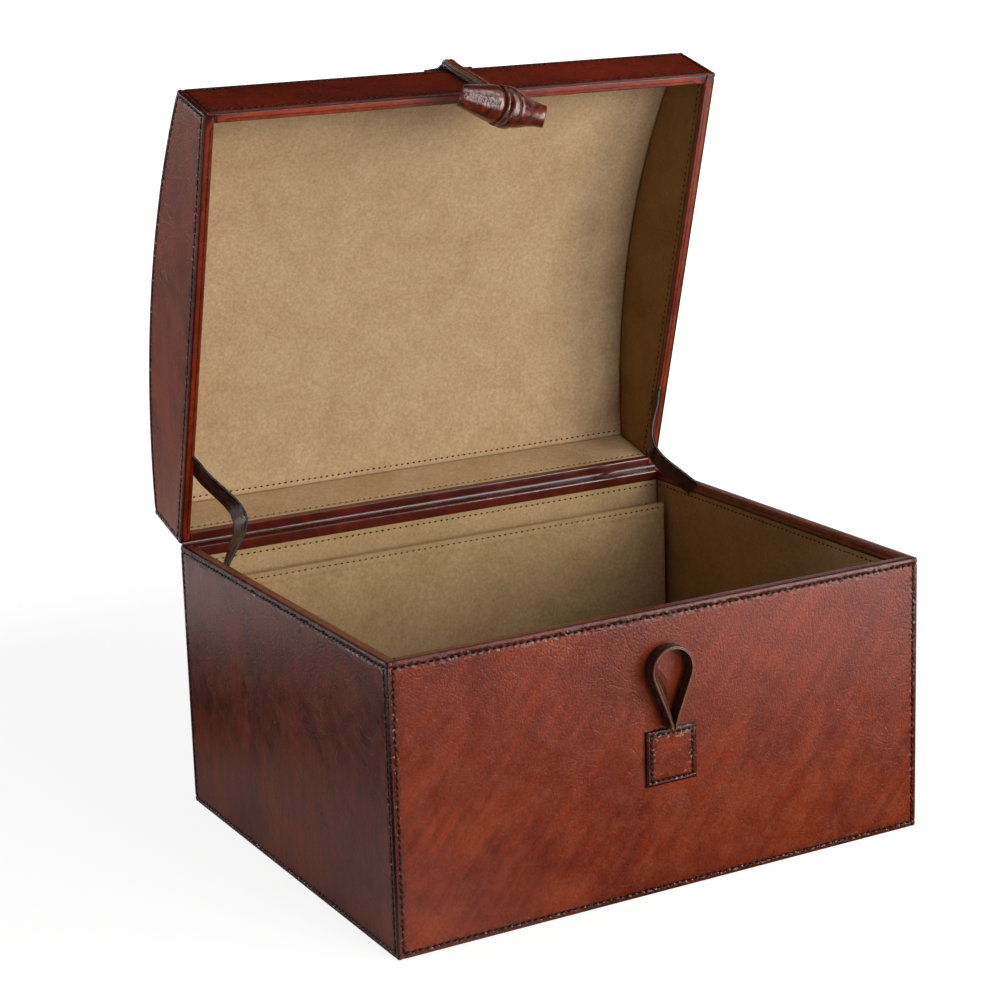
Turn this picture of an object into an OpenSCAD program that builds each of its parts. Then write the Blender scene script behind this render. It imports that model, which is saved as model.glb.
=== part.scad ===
// Leather keepsake box with a domed lid that stands open.
// X runs left to right, Y front to back, Z up. The origin is the middle of the underside.

/* [Box] */
// Outside width of the box, left to right
box_w = 330; // [260:1:400]
// Outside depth of the box, front to back
box_d = 266; // [210:1:330]
// Height of the box, from the table to the top of its rim
box_h = 158; // [130:1:220]

/* [Lid] */
// Straight height of the lid's front and back walls
lid_wall_h = 38.5; // [32:0.5:60]
// Rise of the dome above those walls
lid_rise = 23.5; // [12:0.5:40]
// Angle at which the lid stands open
lid_open = 74; // [50:1:84]
// Gap between the two rims when the lid is shut
rim_gap = 0.3; // [0.2:0.1:1]

/* [Wall layers] */
// Thickness of the outer leather
leather_t = 1.5; // [1:0.1:2.5]
// Thickness of the wall boards
board_t = 3.8; // [2.5:0.1:6]
// Thickness of the box's back board, which carries the hinge
back_board_t = 7.8; // [4:0.2:11]
// Thickness of the floor board
floor_board_t = 5; // [3:0.5:9]
// Thickness of the curved board of the dome
dome_board_t = 3.3; // [2:0.1:5]
// Thickness of the suede lining
lining_t = 1.2; // [0.8:0.1:2]
// Thickness of the glue between the dome's curved layers
glue_t = 0.1; // [0.05:0.05:0.3]

/* [Rims] */
// Thickness of the leather that covers the rims
rim_t = 1.2; // [0.8:0.1:2]
// How far the rim leather turns down inside the walls
facing_h = 6; // [4:0.5:12]

/* [Hinge and stays] */
// Height of the hinge leather on each side of the hinge line
hinge_leather_h = 20; // [12:1:28]
// Distance of the stays from the hinge line
stay_reach = 53; // [40:1:80]
// Width of a stay
stay_w = 13.5; // [8:0.5:16]
// Thickness of a stay
stay_t = 1.8; // [1.2:0.1:3]
// How far a slack stay bows into the box
stay_bow = 17; // [8:0.5:26]
// Length of a stay's end that lies flat on the wall
stay_tab = 8; // [4:0.5:14]
// Height of a stay's bend above or below the rim
stay_sink = 5; // [2:0.5:10]

/* [Pocket] */
// Distance of the pocket's top edge below the rim
pocket_drop = 18.5; // [10:0.5:60]
// Clear width of the pocket, front to back
pocket_slot = 9.2; // [6:0.2:30]
// Thickness of the pocket panel
pocket_t = 2.6; // [2:0.1:5]
// Gap between the pocket panel's ends and the side linings
pocket_end_gap = 2.4; // [1:0.1:6]
// Distance of a gusset from the end of the panel
gusset_inset = 7; // [3:0.5:20]
// Thickness of a gusset
gusset_t = 1.2; // [0.8:0.1:2]

/* [Closure patch and loop] */
// Width of the patches that hold the loop and the toggle strap
patch_w = 31.5; // [24:0.5:50]
// Height of those patches
patch_h = 31; // [20:0.5:50]
// Thickness of those patches
patch_t = 2; // [1:0.1:3]
// Distance of the front patch's top edge below the rim
patch_drop = 65.5; // [63:0.5:80]
// Outside width of the loop
loop_w = 25; // [20:0.5:32]
// Height of the loop above the patch
loop_h = 47; // [40:0.5:49]
// Height over which the loop's two legs are pinched together
loop_neck = 4; // [3:0.5:8]
// Thickness of the loop's strap
loop_t = 2; // [1.4:0.1:3]
// Width of the loop's strap, standing out from the front
loop_depth = 11; // [6:0.5:13]
// Running gap between the loop and what is behind or below it
loop_gap = 0.3; // [0.2:0.1:1]

/* [Toggle] */
// Length of the rolled toggle
toggle_l = 59; // [44:1:70]
// Diameter of its middle
toggle_d = 21.6; // [16:0.2:24]
// Diameter of its ends
toggle_end_d = 12; // [8:0.2:16]
// Tilt of the toggle across its strap
toggle_tilt = 17; // [0:1:25]
// Place of the toggle and its strap right of the box's middle
toggle_x = 4.3; // [-12:0.1:12]
// How far the toggle's middle hangs past the lid's rim
toggle_drop = 26; // [18:0.5:30]
// Width of the wrap round the toggle's middle
wrap_w = 10; // [6:0.5:14]
// Thickness of that wrap
wrap_t = 0.9; // [0.6:0.1:1.5]
// Width of the toggle strap
strap_w = 6; // [4:0.5:9]
// Thickness of the folded toggle strap
strap_t = 4; // [2.5:0.1:5]
// Angle at which the toggle strap leans out from the lid's front wall
strap_lean = 2; // [0:0.5:5]
// Gap between the toggle strap and the lid
strap_gap = 0.7; // [0.5:0.1:2]
// Gap between each end of the toggle strap and what it is sewn to
strap_seat = 0.3; // [0.2:0.1:0.6]
// Distance of the dome's patch behind the lid's front edge
dome_patch_back = 4; // [3:0.5:20]

/* [Hidden] */

$fn = 96;

// Colours
leather_c = "#7a3022";
edge_c = "#5a1f16";
rim_c = "#8a3a28";
suede_c = "#b89b74";
board_c = "#a58a63";
strap_c = "#3a1a14";
toggle_c = "#6e2614";

// Layers from the outside in: depth of the board's outer face, of the lining's outer face, and of
// the finished inside
in_board = leather_t;
in_lining = leather_t + board_t;
wall_t = leather_t + board_t + lining_t;
in_back_lining = leather_t + back_board_t;
back_wall_t = in_back_lining + lining_t;
in_w = box_w - 2 * wall_t;
// The box's finished inside, front and back
inside_front_y = -box_d / 2 + wall_t;
inside_back_y = box_d / 2 - back_wall_t;
floor_lining_z = leather_t + floor_board_t;
floor_z = floor_lining_z + lining_t;

// Dome: the radius of its outside, and the height of that circle's centre above the lid's rim
dome_r = (pow(box_d / 2, 2) + pow(lid_rise, 2)) / (2 * lid_rise);
dome_cz = lid_wall_h + lid_rise - dome_r;
// Depths of the dome's board, lining and inside below its outside
in_dome_board = leather_t + glue_t;
in_dome_lining = in_dome_board + dome_board_t;
dome_t = in_dome_lining + glue_t + lining_t;

// Shortest step that a cut reaches past a face
over = 1;

// Frames
// The rim frame has its origin on the hinge line: Y is 0 there and -box_d at the front edge, and Z is
// the distance from the rim into the wall, so the lid and the box share the pieces drawn in it.
module in_box() {
    translate([0, box_d / 2, box_h]) mirror([0, 0, 1]) children();
}

module in_lid() {
    translate([0, box_d / 2, box_h]) rotate([-lid_open, 0, 0]) translate([0, 0, rim_gap]) children();
}

// A block from its lowest to its highest corner
module block(low, high) {
    translate(low) cube(high - low);
}

// The box's walls, floor and rims

// One layer of the front or back wall, at a depth of a to b below its outside, reaching x each way
module across_layer(x, a, b, z0, z1, back) {
    mirror([0, back ? 1 : 0, 0])
        block([-x, -box_d / 2 + a, z0], [x, -box_d / 2 + b, z1]);
}

// One layer of the left or right wall, stopping short of the box's front and back
module side_layer(front, back, a, b, z0, z1, right) {
    mirror([right ? 1 : 0, 0, 0])
        block([-box_w / 2 + a, -box_d / 2 + front, z0], [-box_w / 2 + b, box_d / 2 - back, z1]);
}

// One layer of the floor, stopping short of the box's sides, front and back
module floor_layer(side, front, back, z0, z1) {
    block([-box_w / 2 + side, -box_d / 2 + front, z0], [box_w / 2 - side, box_d / 2 - back, z1]);
}

module front_board() {
    color(board_c) across_layer(box_w / 2 - in_lining, in_board, in_lining, leather_t, box_h - rim_t, false);
}

module back_board() {
    color(board_c)
        across_layer(box_w / 2 - in_lining, in_board, in_back_lining, leather_t, box_h - rim_t, true);
}

module left_board() {
    color(board_c) side_layer(in_board, in_board, in_board, in_lining, leather_t, box_h - rim_t, false);
}

module right_board() {
    color(board_c) side_layer(in_board, in_board, in_board, in_lining, leather_t, box_h - rim_t, true);
}

module floor_board() {
    color(board_c) floor_layer(in_lining, in_lining, in_back_lining, leather_t, floor_lining_z);
}

module front_leather() {
    color(leather_c) across_layer(box_w / 2 - leather_t, 0, leather_t, 0, box_h, false);
}

// The back leather stops below the hinge leather, which lies flush with it
module back_leather() {
    color(leather_c) across_layer(box_w / 2 - leather_t, 0, leather_t, 0, box_h - hinge_leather_h, true);
}

module left_leather() {
    color(leather_c) side_layer(0, 0, 0, leather_t, 0, box_h, false);
}

module right_leather() {
    color(leather_c) side_layer(0, 0, 0, leather_t, 0, box_h, true);
}

module floor_leather() {
    color(leather_c) floor_layer(leather_t, leather_t, leather_t, 0, leather_t);
}

// Rim leathers, in the rim frame. Each covers its board's edge and turns down inside as a facing.
// back is the depth of the back wall's lining, where a side rim's facing ends
module side_rim_shape(back) {
    union() {
        block([-box_w / 2 + in_board, -box_d + in_board, 0], [-box_w / 2 + wall_t, -in_board, rim_t]);
        block([-box_w / 2 + in_lining, -box_d + in_lining, 0], [-box_w / 2 + wall_t, -back, facing_h]);
    }
}

module front_rim_shape() {
    union() {
        block([-in_w / 2, -box_d + in_board, 0], [in_w / 2, -box_d + wall_t, rim_t]);
        block([-in_w / 2, -box_d + in_lining, 0], [in_w / 2, -box_d + wall_t, facing_h]);
    }
}

// lining is the depth of the back wall's lining
module back_rim_shape(lining) {
    union() {
        block([-in_w / 2, -lining - lining_t, 0], [in_w / 2, -in_board, rim_t]);
        block([-in_w / 2, -lining - lining_t, 0], [in_w / 2, -lining, facing_h]);
    }
}

module front_rim() {
    color(rim_c) in_box() front_rim_shape();
}

module back_rim() {
    color(rim_c) in_box() back_rim_shape(in_back_lining);
}

module left_rim() {
    color(rim_c) in_box() side_rim_shape(in_back_lining);
}

module right_rim() {
    color(rim_c) in_box() mirror([1, 0, 0]) side_rim_shape(in_back_lining);
}

// Suede linings, from the floor board up to the rims' facings
module front_lining() {
    color(suede_c) across_layer(in_w / 2, in_lining, wall_t, floor_lining_z, box_h - facing_h, false);
}

module back_lining() {
    color(suede_c)
        across_layer(in_w / 2, in_back_lining, back_wall_t, floor_lining_z, box_h - facing_h, true);
}

module left_lining() {
    color(suede_c)
        side_layer(in_lining, in_back_lining, in_lining, wall_t, floor_lining_z, box_h - facing_h, false);
}

module right_lining() {
    color(suede_c)
        side_layer(in_lining, in_back_lining, in_lining, wall_t, floor_lining_z, box_h - facing_h, true);
}

module floor_lining() {
    color(suede_c) floor_layer(wall_t, wall_t, back_wall_t, floor_lining_z, floor_z);
}

// The pocket

pocket_top = box_h - pocket_drop;
pocket_back_y = inside_back_y - pocket_slot;
panel_end = in_w / 2 - pocket_end_gap;

module pocket_panel() {
    color(suede_c)
        block([-panel_end, pocket_back_y - pocket_t, floor_z], [panel_end, pocket_back_y, pocket_top]);
}

module gusset_shape() {
    block([panel_end - gusset_inset - gusset_t, pocket_back_y, floor_z],
          [panel_end - gusset_inset, inside_back_y, pocket_top]);
}

module left_pocket_gusset() {
    color(suede_c) mirror([1, 0, 0]) gusset_shape();
}

module right_pocket_gusset() {
    color(suede_c) gusset_shape();
}

// The closure patch and loop

patch_top = box_h - patch_drop;

module closure_patch() {
    color(leather_c)
        block([-patch_w / 2, -box_d / 2 - patch_t, patch_top - patch_h], [patch_w / 2, -box_d / 2, patch_top]);
}

// The loop seen from the front: two legs that rise from a pinched neck and run tangent into a round top
loop_r = loop_w / 2;
loop_cz = loop_h - loop_r;

// A drop shape with a round top of radius r, standing on a foot of half width a at height z
module drop(r, a, z) {
    rise = loop_cz - z;
    reach = sqrt(rise * rise + a * a);
    // Turn of the line from the circle's centre to the tangent point, above the horizontal
    turn = asin(r / reach) - atan2(a, rise);
    union() {
        translate([0, loop_cz]) circle(r);
        polygon([[-a, z], [a, z],
                 [r * cos(turn), loop_cz - r * sin(turn)],
                 [-r * cos(turn), loop_cz - r * sin(turn)]]);
    }
}

module loop_outline() {
    difference() {
        union() {
            drop(loop_r, loop_t, loop_neck);
            translate([-loop_t, loop_gap]) square([2 * loop_t, loop_neck - loop_gap]);
        }
        drop(loop_r - loop_t, 0.01, loop_neck + loop_t);
    }
}

module closure_loop() {
    color(strap_c)
        translate([0, -box_d / 2 - loop_gap, patch_top])
            rotate([90, 0, 0])
                linear_extrude(loop_depth) loop_outline();
}

// The hinge leather: a strip on the back boards, bent at the hinge line

function turn_lid(p) = [
    p[0] * cos(lid_open) + p[1] * sin(lid_open),
    -p[0] * sin(lid_open) + p[1] * cos(lid_open)
];

module hinge_leather() {
    // Seen from the side, with the hinge line at the origin
    box_edge = [[-leather_t, 0], [0, 0]];
    lid_edge = [turn_lid([0, rim_gap]), turn_lid([-leather_t, rim_gap])];
    color(edge_c)
        translate([-box_w / 2 + leather_t, box_d / 2, box_h])
            rotate([90, 0, 90])
                linear_extrude(box_w - 2 * leather_t)
                    polygon([
                        box_edge[0],
                        [-leather_t, -hinge_leather_h],
                        [0, -hinge_leather_h],
                        box_edge[1],
                        lid_edge[0],
                        turn_lid([0, hinge_leather_h]),
                        turn_lid([-leather_t, hinge_leather_h]),
                        lid_edge[1]
                    ]);
}

// The stays: each is a flat strap whose ends lie on the two side walls, bowed into the box between

stay_box_end = [-stay_reach, -stay_sink];
stay_lid_end = turn_lid([-stay_reach, stay_sink + rim_gap]);
stay_line = stay_lid_end - stay_box_end;
stay_chord = norm(stay_line);
stay_steps = 24;

// Bow of the strap's wall side at a place along its chord, and the slope there
function bow(u) = stay_bow / 2 * (1 - cos(360 * u / stay_chord));
function bow_slope(u) = stay_bow * PI / stay_chord * sin(360 * u / stay_chord);
function bow_point(u, t) =
    let (n = [-bow_slope(u), 1] / norm([bow_slope(u), 1])) [u, bow(u)] + t * n;

module stay_shape() {
    us = [for (i = [0:stay_steps]) stay_chord * i / stay_steps];
    translate([-in_w / 2, box_d / 2 + stay_box_end[0], box_h + stay_box_end[1]])
        rotate([atan2(stay_line[1], stay_line[0]) + 180, 0, 0])
            rotate([0, 0, -90])
                linear_extrude(stay_w, center = true)
                    polygon(concat(
                        [[-stay_tab, 0]],
                        [for (u = us) bow_point(u, 0)],
                        [[stay_chord + stay_tab, 0], [stay_chord + stay_tab, stay_t]],
                        [for (i = [stay_steps:-1:0]) bow_point(us[i], stay_t)],
                        [[-stay_tab, stay_t]]
                    ));
}

module left_stay() {
    color(strap_c) stay_shape();
}

module right_stay() {
    color(strap_c) mirror([1, 0, 0]) stay_shape();
}

// The lid, in the rim frame

// The lid's side view at a depth of walls below its front and back and of dome below its top, from
// height z0 above the rim
module lid_profile(walls, dome, z0) {
    intersection() {
        translate([-box_d + walls, z0]) square([box_d - 2 * walls, lid_wall_h + lid_rise]);
        translate([-box_d / 2, dome_cz]) circle(dome_r - dome, $fn = 180);
    }
}

// The side view drawn out from the left wall's depth a to b
module end_layer(walls, dome, z0, a, b) {
    translate([-box_w / 2 + a, 0, 0])
        rotate([90, 0, 90])
            linear_extrude(b - a) lid_profile(walls, dome, z0);
}

// A layer of the front wall, at a depth of a to b, below the dome's depth
module lid_wall_layer(x, a, b, dome, z0) {
    translate([-x, 0, 0])
        rotate([90, 0, 90])
            linear_extrude(2 * x)
                intersection() {
                    lid_profile(0, dome, z0);
                    translate([-box_d + a, 0]) square([b - a, lid_wall_h + lid_rise]);
                }
}

// A layer of the dome, at a depth of a to b, between walls of the given depth
module dome_layer(x, a, b, walls) {
    translate([-x, 0, 0])
        rotate([90, 0, 90])
            linear_extrude(2 * x)
                difference() {
                    lid_profile(walls, a, 0);
                    lid_profile(-over, b, -over);
                }
}

module lid_front_board() {
    color(board_c) in_lid() lid_wall_layer(box_w / 2 - in_lining, in_board, in_lining, in_dome_lining, rim_t);
}

module lid_back_board() {
    color(board_c) in_lid() translate([0, -box_d, 0]) mirror([0, 1, 0])
        lid_wall_layer(box_w / 2 - in_lining, in_board, in_lining, in_dome_lining, rim_t);
}

module lid_left_board() {
    color(board_c) in_lid() end_layer(in_board, in_dome_board, rim_t, in_board, in_lining);
}

module lid_right_board() {
    color(board_c) in_lid() mirror([1, 0, 0])
        end_layer(in_board, in_dome_board, rim_t, in_board, in_lining);
}

module lid_dome_board() {
    color(board_c) in_lid() dome_layer(box_w / 2 - in_lining, in_dome_board, in_dome_lining, in_board);
}

module lid_front_leather() {
    color(leather_c) in_lid() lid_wall_layer(box_w / 2 - leather_t, 0, leather_t, leather_t, 0);
}

// As on the box, the back leather stops where the hinge leather begins
module lid_back_leather() {
    color(leather_c) in_lid() translate([0, -box_d, 0]) mirror([0, 1, 0])
        lid_wall_layer(box_w / 2 - leather_t, 0, leather_t, leather_t, hinge_leather_h - rim_gap);
}

module lid_left_leather() {
    color(leather_c) in_lid() end_layer(0, 0, 0, 0, leather_t);
}

module lid_right_leather() {
    color(leather_c) in_lid() mirror([1, 0, 0]) end_layer(0, 0, 0, 0, leather_t);
}

module lid_dome_leather() {
    color(leather_c) in_lid() dome_layer(box_w / 2 - leather_t, 0, leather_t, 0);
}

module lid_front_rim() {
    color(rim_c) in_lid() front_rim_shape();
}

module lid_back_rim() {
    color(rim_c) in_lid() back_rim_shape(in_lining);
}

module lid_left_rim() {
    color(rim_c) in_lid() side_rim_shape(in_lining);
}

module lid_right_rim() {
    color(rim_c) in_lid() mirror([1, 0, 0]) side_rim_shape(in_lining);
}

module lid_front_lining() {
    color(suede_c) in_lid() lid_wall_layer(in_w / 2, in_lining, wall_t, dome_t, facing_h);
}

module lid_back_lining() {
    color(suede_c) in_lid() translate([0, -box_d, 0]) mirror([0, 1, 0])
        lid_wall_layer(in_w / 2, in_lining, wall_t, dome_t, facing_h);
}

module lid_left_lining() {
    color(suede_c) in_lid() end_layer(in_lining, in_dome_lining, facing_h, in_lining, wall_t);
}

module lid_right_lining() {
    color(suede_c) in_lid() mirror([1, 0, 0])
        end_layer(in_lining, in_dome_lining, facing_h, in_lining, wall_t);
}

module lid_dome_lining() {
    color(suede_c) in_lid() dome_layer(in_w / 2, in_dome_lining + glue_t, dome_t, in_lining);
}

// The toggle, its strap and the patch that holds the strap on the dome

// Turn about the dome's centre from its top to its front edge, and to the patch's two edges
edge_turn = asin(box_d / 2 / dome_r);
patch_front_turn = edge_turn - dome_patch_back / dome_r * 180 / PI;
patch_back_turn = patch_front_turn - patch_h / dome_r * 180 / PI;

// A place on or above the dome, given as its turn from the top and its height above the leather
function on_dome(turn, up) = [
    -box_d / 2 - (dome_r + up) * sin(turn),
    dome_cz + (dome_r + up) * cos(turn)
];

module dome_patch() {
    reach = dome_r + lid_rise;
    color(leather_c) in_lid()
        translate([toggle_x - patch_w / 2, 0, 0])
            rotate([90, 0, 90])
                linear_extrude(patch_w)
                    translate([-box_d / 2, dome_cz])
                        intersection() {
                            difference() {
                                circle(dome_r + patch_t, $fn = 180);
                                circle(dome_r, $fn = 180);
                            }
                            polygon([
                                [0, 0],
                                [-reach * sin(patch_front_turn), reach * cos(patch_front_turn)],
                                [-reach * sin(patch_back_turn), reach * cos(patch_back_turn)]
                            ]);
                        }
}

wrap_r = toggle_d / 2 + wrap_t;
toggle_yz = [-box_d, -toggle_drop];

// The strap's middle line, seen from the side in the rim frame: from the patch over the lid's front
// edge, down the front wall and on to the toggle
strap_out = strap_gap + strap_t / 2;
edge_bend = 0.8;
wall_drop = 5;
// A place on the strap's run along the wall, at height z above the rim
function on_wall(z) = [-box_d - strap_out - (lid_wall_h - z) * tan(strap_lean), z];
strap_start_turn = patch_front_turn + strap_seat / dome_r * 180 / PI;
// Turn of the strap's end round the toggle, off its top
strap_end_turn = 14;
edge_corner = [-box_d, lid_wall_h];
edge_way = [-1 - sin(edge_turn), cos(edge_turn)] / norm([-1 - sin(edge_turn), cos(edge_turn)]);
strap_route = [
    on_dome(strap_start_turn, strap_out),
    edge_corner + (strap_out + edge_bend) * edge_way,
    on_wall(lid_wall_h - wall_drop),
    on_wall(lid_wall_h / 2),
    on_wall(0),
    toggle_yz + (wrap_r + strap_seat) * [-sin(strap_end_turn), cos(strap_end_turn)]
];

// A smooth curve through the route's points
function mix(a, b, c, d, t) = 0.5 * (2 * b + (c - a) * t + (2 * a - 5 * b + 4 * c - d) * t * t
    + (3 * b - a - 3 * c + d) * t * t * t);
function along(p, i, t) = mix(p[max(i - 1, 0)], p[i], p[i + 1], p[min(i + 2, len(p) - 1)], t);
function smooth(p, n) = concat(
    [for (i = [0:len(p) - 2], k = [0:n - 1]) along(p, i, k / n)],
    [p[len(p) - 1]]
);
function normal_at(p, i) =
    let (d = p[min(i + 1, len(p) - 1)] - p[max(i - 1, 0)]) [-d[1], d[0]] / norm(d);

module ribbon(p, t) {
    polygon(concat(
        [for (i = [0:len(p) - 1]) p[i] + normal_at(p, i) * t / 2],
        [for (i = [len(p) - 1:-1:0]) p[i] - normal_at(p, i) * t / 2]
    ));
}

module toggle_strap() {
    color(strap_c) in_lid()
        translate([toggle_x - strap_w / 2, 0, 0])
            rotate([90, 0, 90])
                linear_extrude(strap_w) ribbon(smooth(strap_route, 5), strap_t);
}

// Turns a shape drawn round the Z axis to the toggle's own place and tilt
module at_toggle() {
    in_lid()
        translate([toggle_x, toggle_yz[0], toggle_yz[1]])
            rotate([0, 0, toggle_tilt])
                rotate([0, 90, 0]) children();
}

// Radius of the roll at a share f of the way from the wrap to its end
function roll_r(f) = toggle_end_d / 2 + (toggle_d - toggle_end_d) / 2 * (1 - pow(f, 1.3));
roll_steps = 8;

module toggle_roll() {
    taper = toggle_l / 2 - wrap_w / 2;
    side = [for (i = [0:roll_steps]) [roll_r(i / roll_steps), wrap_w / 2 + taper * i / roll_steps]];
    color(toggle_c) at_toggle()
        rotate_extrude()
            polygon(concat(
                [[0, -toggle_l / 2]],
                [for (i = [roll_steps:-1:0]) [side[i][0], -side[i][1]]],
                side,
                [[0, toggle_l / 2]]
            ));
}

// Clearance between the wrap and the roll
wrap_fit = 0.05;

module toggle_wrap() {
    color(edge_c) at_toggle()
        rotate_extrude()
            translate([toggle_d / 2 + wrap_fit, -wrap_w / 2]) square([wrap_t - wrap_fit, wrap_w]);
}

front_board();
back_board();
left_board();
right_board();
floor_board();
front_leather();
back_leather();
left_leather();
right_leather();
floor_leather();
front_rim();
back_rim();
left_rim();
right_rim();
front_lining();
back_lining();
left_lining();
right_lining();
floor_lining();
pocket_panel();
left_pocket_gusset();
right_pocket_gusset();
closure_patch();
closure_loop();
hinge_leather();
left_stay();
right_stay();
lid_front_board();
lid_back_board();
lid_left_board();
lid_right_board();
lid_dome_board();
lid_front_leather();
lid_back_leather();
lid_left_leather();
lid_right_leather();
lid_dome_leather();
lid_front_rim();
lid_back_rim();
lid_left_rim();
lid_right_rim();
lid_front_lining();
lid_back_lining();
lid_left_lining();
lid_right_lining();
lid_dome_lining();
dome_patch();
toggle_strap();
toggle_roll();
toggle_wrap();
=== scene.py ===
# %% [markdown]
# # A stitched leather keepsake box
#
# The box is made as a case maker makes it: stiff boards, a panel of leather on each face, a strip of
# leather over each rim and a suede lining. The boards come from the CAD model. Everything soft that
# shows is built here, sheet by sheet, and sewn with its own stitches.

# %% Load the fixed frame
import math

import bmesh
import bpy
from mathutils import Euler, Matrix, Vector, noise


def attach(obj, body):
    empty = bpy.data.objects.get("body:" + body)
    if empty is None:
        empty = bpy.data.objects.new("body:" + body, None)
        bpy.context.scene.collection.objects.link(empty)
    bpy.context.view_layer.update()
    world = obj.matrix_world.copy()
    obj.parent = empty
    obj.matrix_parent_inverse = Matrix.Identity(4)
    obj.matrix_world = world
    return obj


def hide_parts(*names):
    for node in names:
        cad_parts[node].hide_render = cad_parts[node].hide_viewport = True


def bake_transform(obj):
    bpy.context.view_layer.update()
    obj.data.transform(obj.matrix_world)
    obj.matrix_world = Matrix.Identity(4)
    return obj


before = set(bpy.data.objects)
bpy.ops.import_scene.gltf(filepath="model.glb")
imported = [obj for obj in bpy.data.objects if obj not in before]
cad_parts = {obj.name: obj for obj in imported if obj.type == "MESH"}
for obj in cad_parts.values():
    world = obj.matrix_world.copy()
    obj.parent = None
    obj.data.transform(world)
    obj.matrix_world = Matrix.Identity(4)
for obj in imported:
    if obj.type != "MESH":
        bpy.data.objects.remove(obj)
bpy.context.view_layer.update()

# %% [markdown]
# ## Sizes and the two places that pieces are drawn in
#
# Every size is in millimetres and repeats the CAD model's. A piece of the box is drawn straight in the
# frame. A piece of the lid is drawn as if the lid lay flat, with s as the distance from the hinge to the
# front and t as the height above the rim, and one function turns it open.

# %% Real sizes
box_w, box_d, box_h = 330.0, 266.0, 158.0
lid_wall_h, lid_rise, lid_shell_t = 38.5, 23.5, 6.2
lid_open = math.radians(74.0)
leather_t, lining_t, rim_t = 1.5, 1.2, 1.2
wall_t, back_wall_t, floor_z = 6.5, 10.5, 7.7
facing_h, lid_facing_h = 6.0, 3.8
hinge_leather_h = 20.0
stitch_inset, stitch_pitch = 3.5, 4.0
# The gap between the two rims, and how far a sheet stays clear of what lies behind it
rim_gap, hair = 0.3, 0.05
dome_r = ((box_d / 2) ** 2 + lid_rise ** 2) / (2 * lid_rise)
dome_cz = lid_wall_h + lid_rise - dome_r
dome_in_r = dome_r - lid_shell_t


def in_box(x, y, z):
    return Vector((x, y, z)) / 1000


def in_lid(x, s, t):
    t = t + rim_gap
    y = box_d / 2 - s * math.cos(lid_open) + t * math.sin(lid_open)
    z = box_h + s * math.sin(lid_open) + t * math.cos(lid_open)
    return Vector((x, y, z)) / 1000


print("dome radius, mm:", round(dome_r, 1))

# %% [markdown]
# ## Camera
#
# The photograph is taken from the box's front left corner, a little above its rim. The camera's place,
# lens and turn come from solving for the box's eleven outer corners.

# %% Camera
camera = bpy.data.objects.new("camera", bpy.data.cameras.new("camera"))
bpy.context.scene.collection.objects.link(camera)
camera.data.lens, camera.data.sensor_width = 89.07, 36.0
camera.data.shift_x, camera.data.shift_y = 0.0113, -0.0651
look = Euler((math.radians(90 - 12.86), 0, math.radians(-28.78))).to_matrix()
camera.matrix_world = (
    Matrix.Translation((-0.6756, -1.1744, 0.5358))
    @ (look @ Euler((0, 0, math.radians(-1.78))).to_matrix()).to_4x4()
)
bpy.context.scene.camera = camera
print("camera at", [round(v, 3) for v in camera.matrix_world.translation])

# %% [markdown]
# ## Colours and nodes
#
# Colours are written as they are picked on a screen and turned to the linear values that the shader
# wants; a plain number stands for a grey. One small function adds a node with its settings, values and
# links, and the rest use it for noise with patches of a given size, a ramp, a mix, a sum or a bump.

# %% Colours and nodes


def colour(code):
    if not isinstance(code, str):
        return [code, code, code, 1.0]
    parts = [int(code[i : i + 2], 16) / 255 for i in (1, 3, 5)]
    return [c / 12.92 if c <= 0.04045 else ((c + 0.055) / 1.055) ** 2.4 for c in parts] + [1.0]


def add(tree, kind, inputs=(), **settings):
    made = tree.nodes.new("ShaderNode" + kind)
    for name, value in settings.items():
        setattr(made, name, value)
    for name, value in dict(inputs).items():
        if isinstance(value, bpy.types.NodeSocket):
            tree.links.new(value, made.inputs[name])
        else:
            made.inputs[name].default_value = colour(value) if isinstance(value, str) else value
    return made


def blank(kind, name):
    made = kind.new(name)
    made.use_nodes = True
    made.node_tree.nodes.clear()
    return made, made.node_tree


def place_of(tree, kind="Object"):
    return add(tree, "TexCoord").outputs[kind]


def patches(tree, spot, size_mm, detail=2.0, roughness=0.5, distortion=0.0):
    return add(tree, "TexNoise", {"Vector": spot, "Scale": 1000 / size_mm, "Detail": detail,
                                  "Roughness": roughness, "Distortion": distortion}).outputs["Fac"]


def ramp(tree, value, *stops):
    made = add(tree, "ValToRGB", {"Fac": value})
    points = made.color_ramp.elements
    for k, (at, shade) in enumerate(stops):
        point = points[k] if k < len(points) else points.new(at)
        point.position, point.color = at, colour(shade)
    return made.outputs["Color"]


def mix(tree, share, first, second, blend="MIX"):
    return add(tree, "Mix", {0: share, 6: first, 7: second}, data_type="RGBA", blend_type=blend).outputs[2]


def mix_values(tree, share, first, second):
    return add(tree, "Mix", {0: share, 2: first, 3: second}, data_type="FLOAT").outputs[0]


def calc(tree, kind, first, second):
    return add(tree, "Math", {0: first, 1: second}, operation=kind).outputs[0]


def scaled(tree, value, low, high, to_low, to_high):
    return add(tree, "MapRange", {"Value": value, "From Min": low, "From Max": high,
                                  "To Min": to_low, "To Max": to_high}).outputs[0]


def bumped(tree, height, strength, deep_mm, over=None):
    inputs = {"Height": height, "Strength": strength, "Distance": deep_mm / 1000}
    if over is not None:
        inputs["Normal"] = over
    return add(tree, "Bump", inputs).outputs[0]


def surface(tree, base, roughness, gloss, normal, **more):
    inputs = {"Base Color": base, "Roughness": roughness, "Specular IOR Level": gloss, "Normal": normal}
    inputs.update({name.replace("_", " "): value for name, value in more.items()})
    made = add(tree, "BsdfPrincipled", inputs)
    add(tree, "OutputMaterial", {"Surface": made.outputs[0]})


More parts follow.
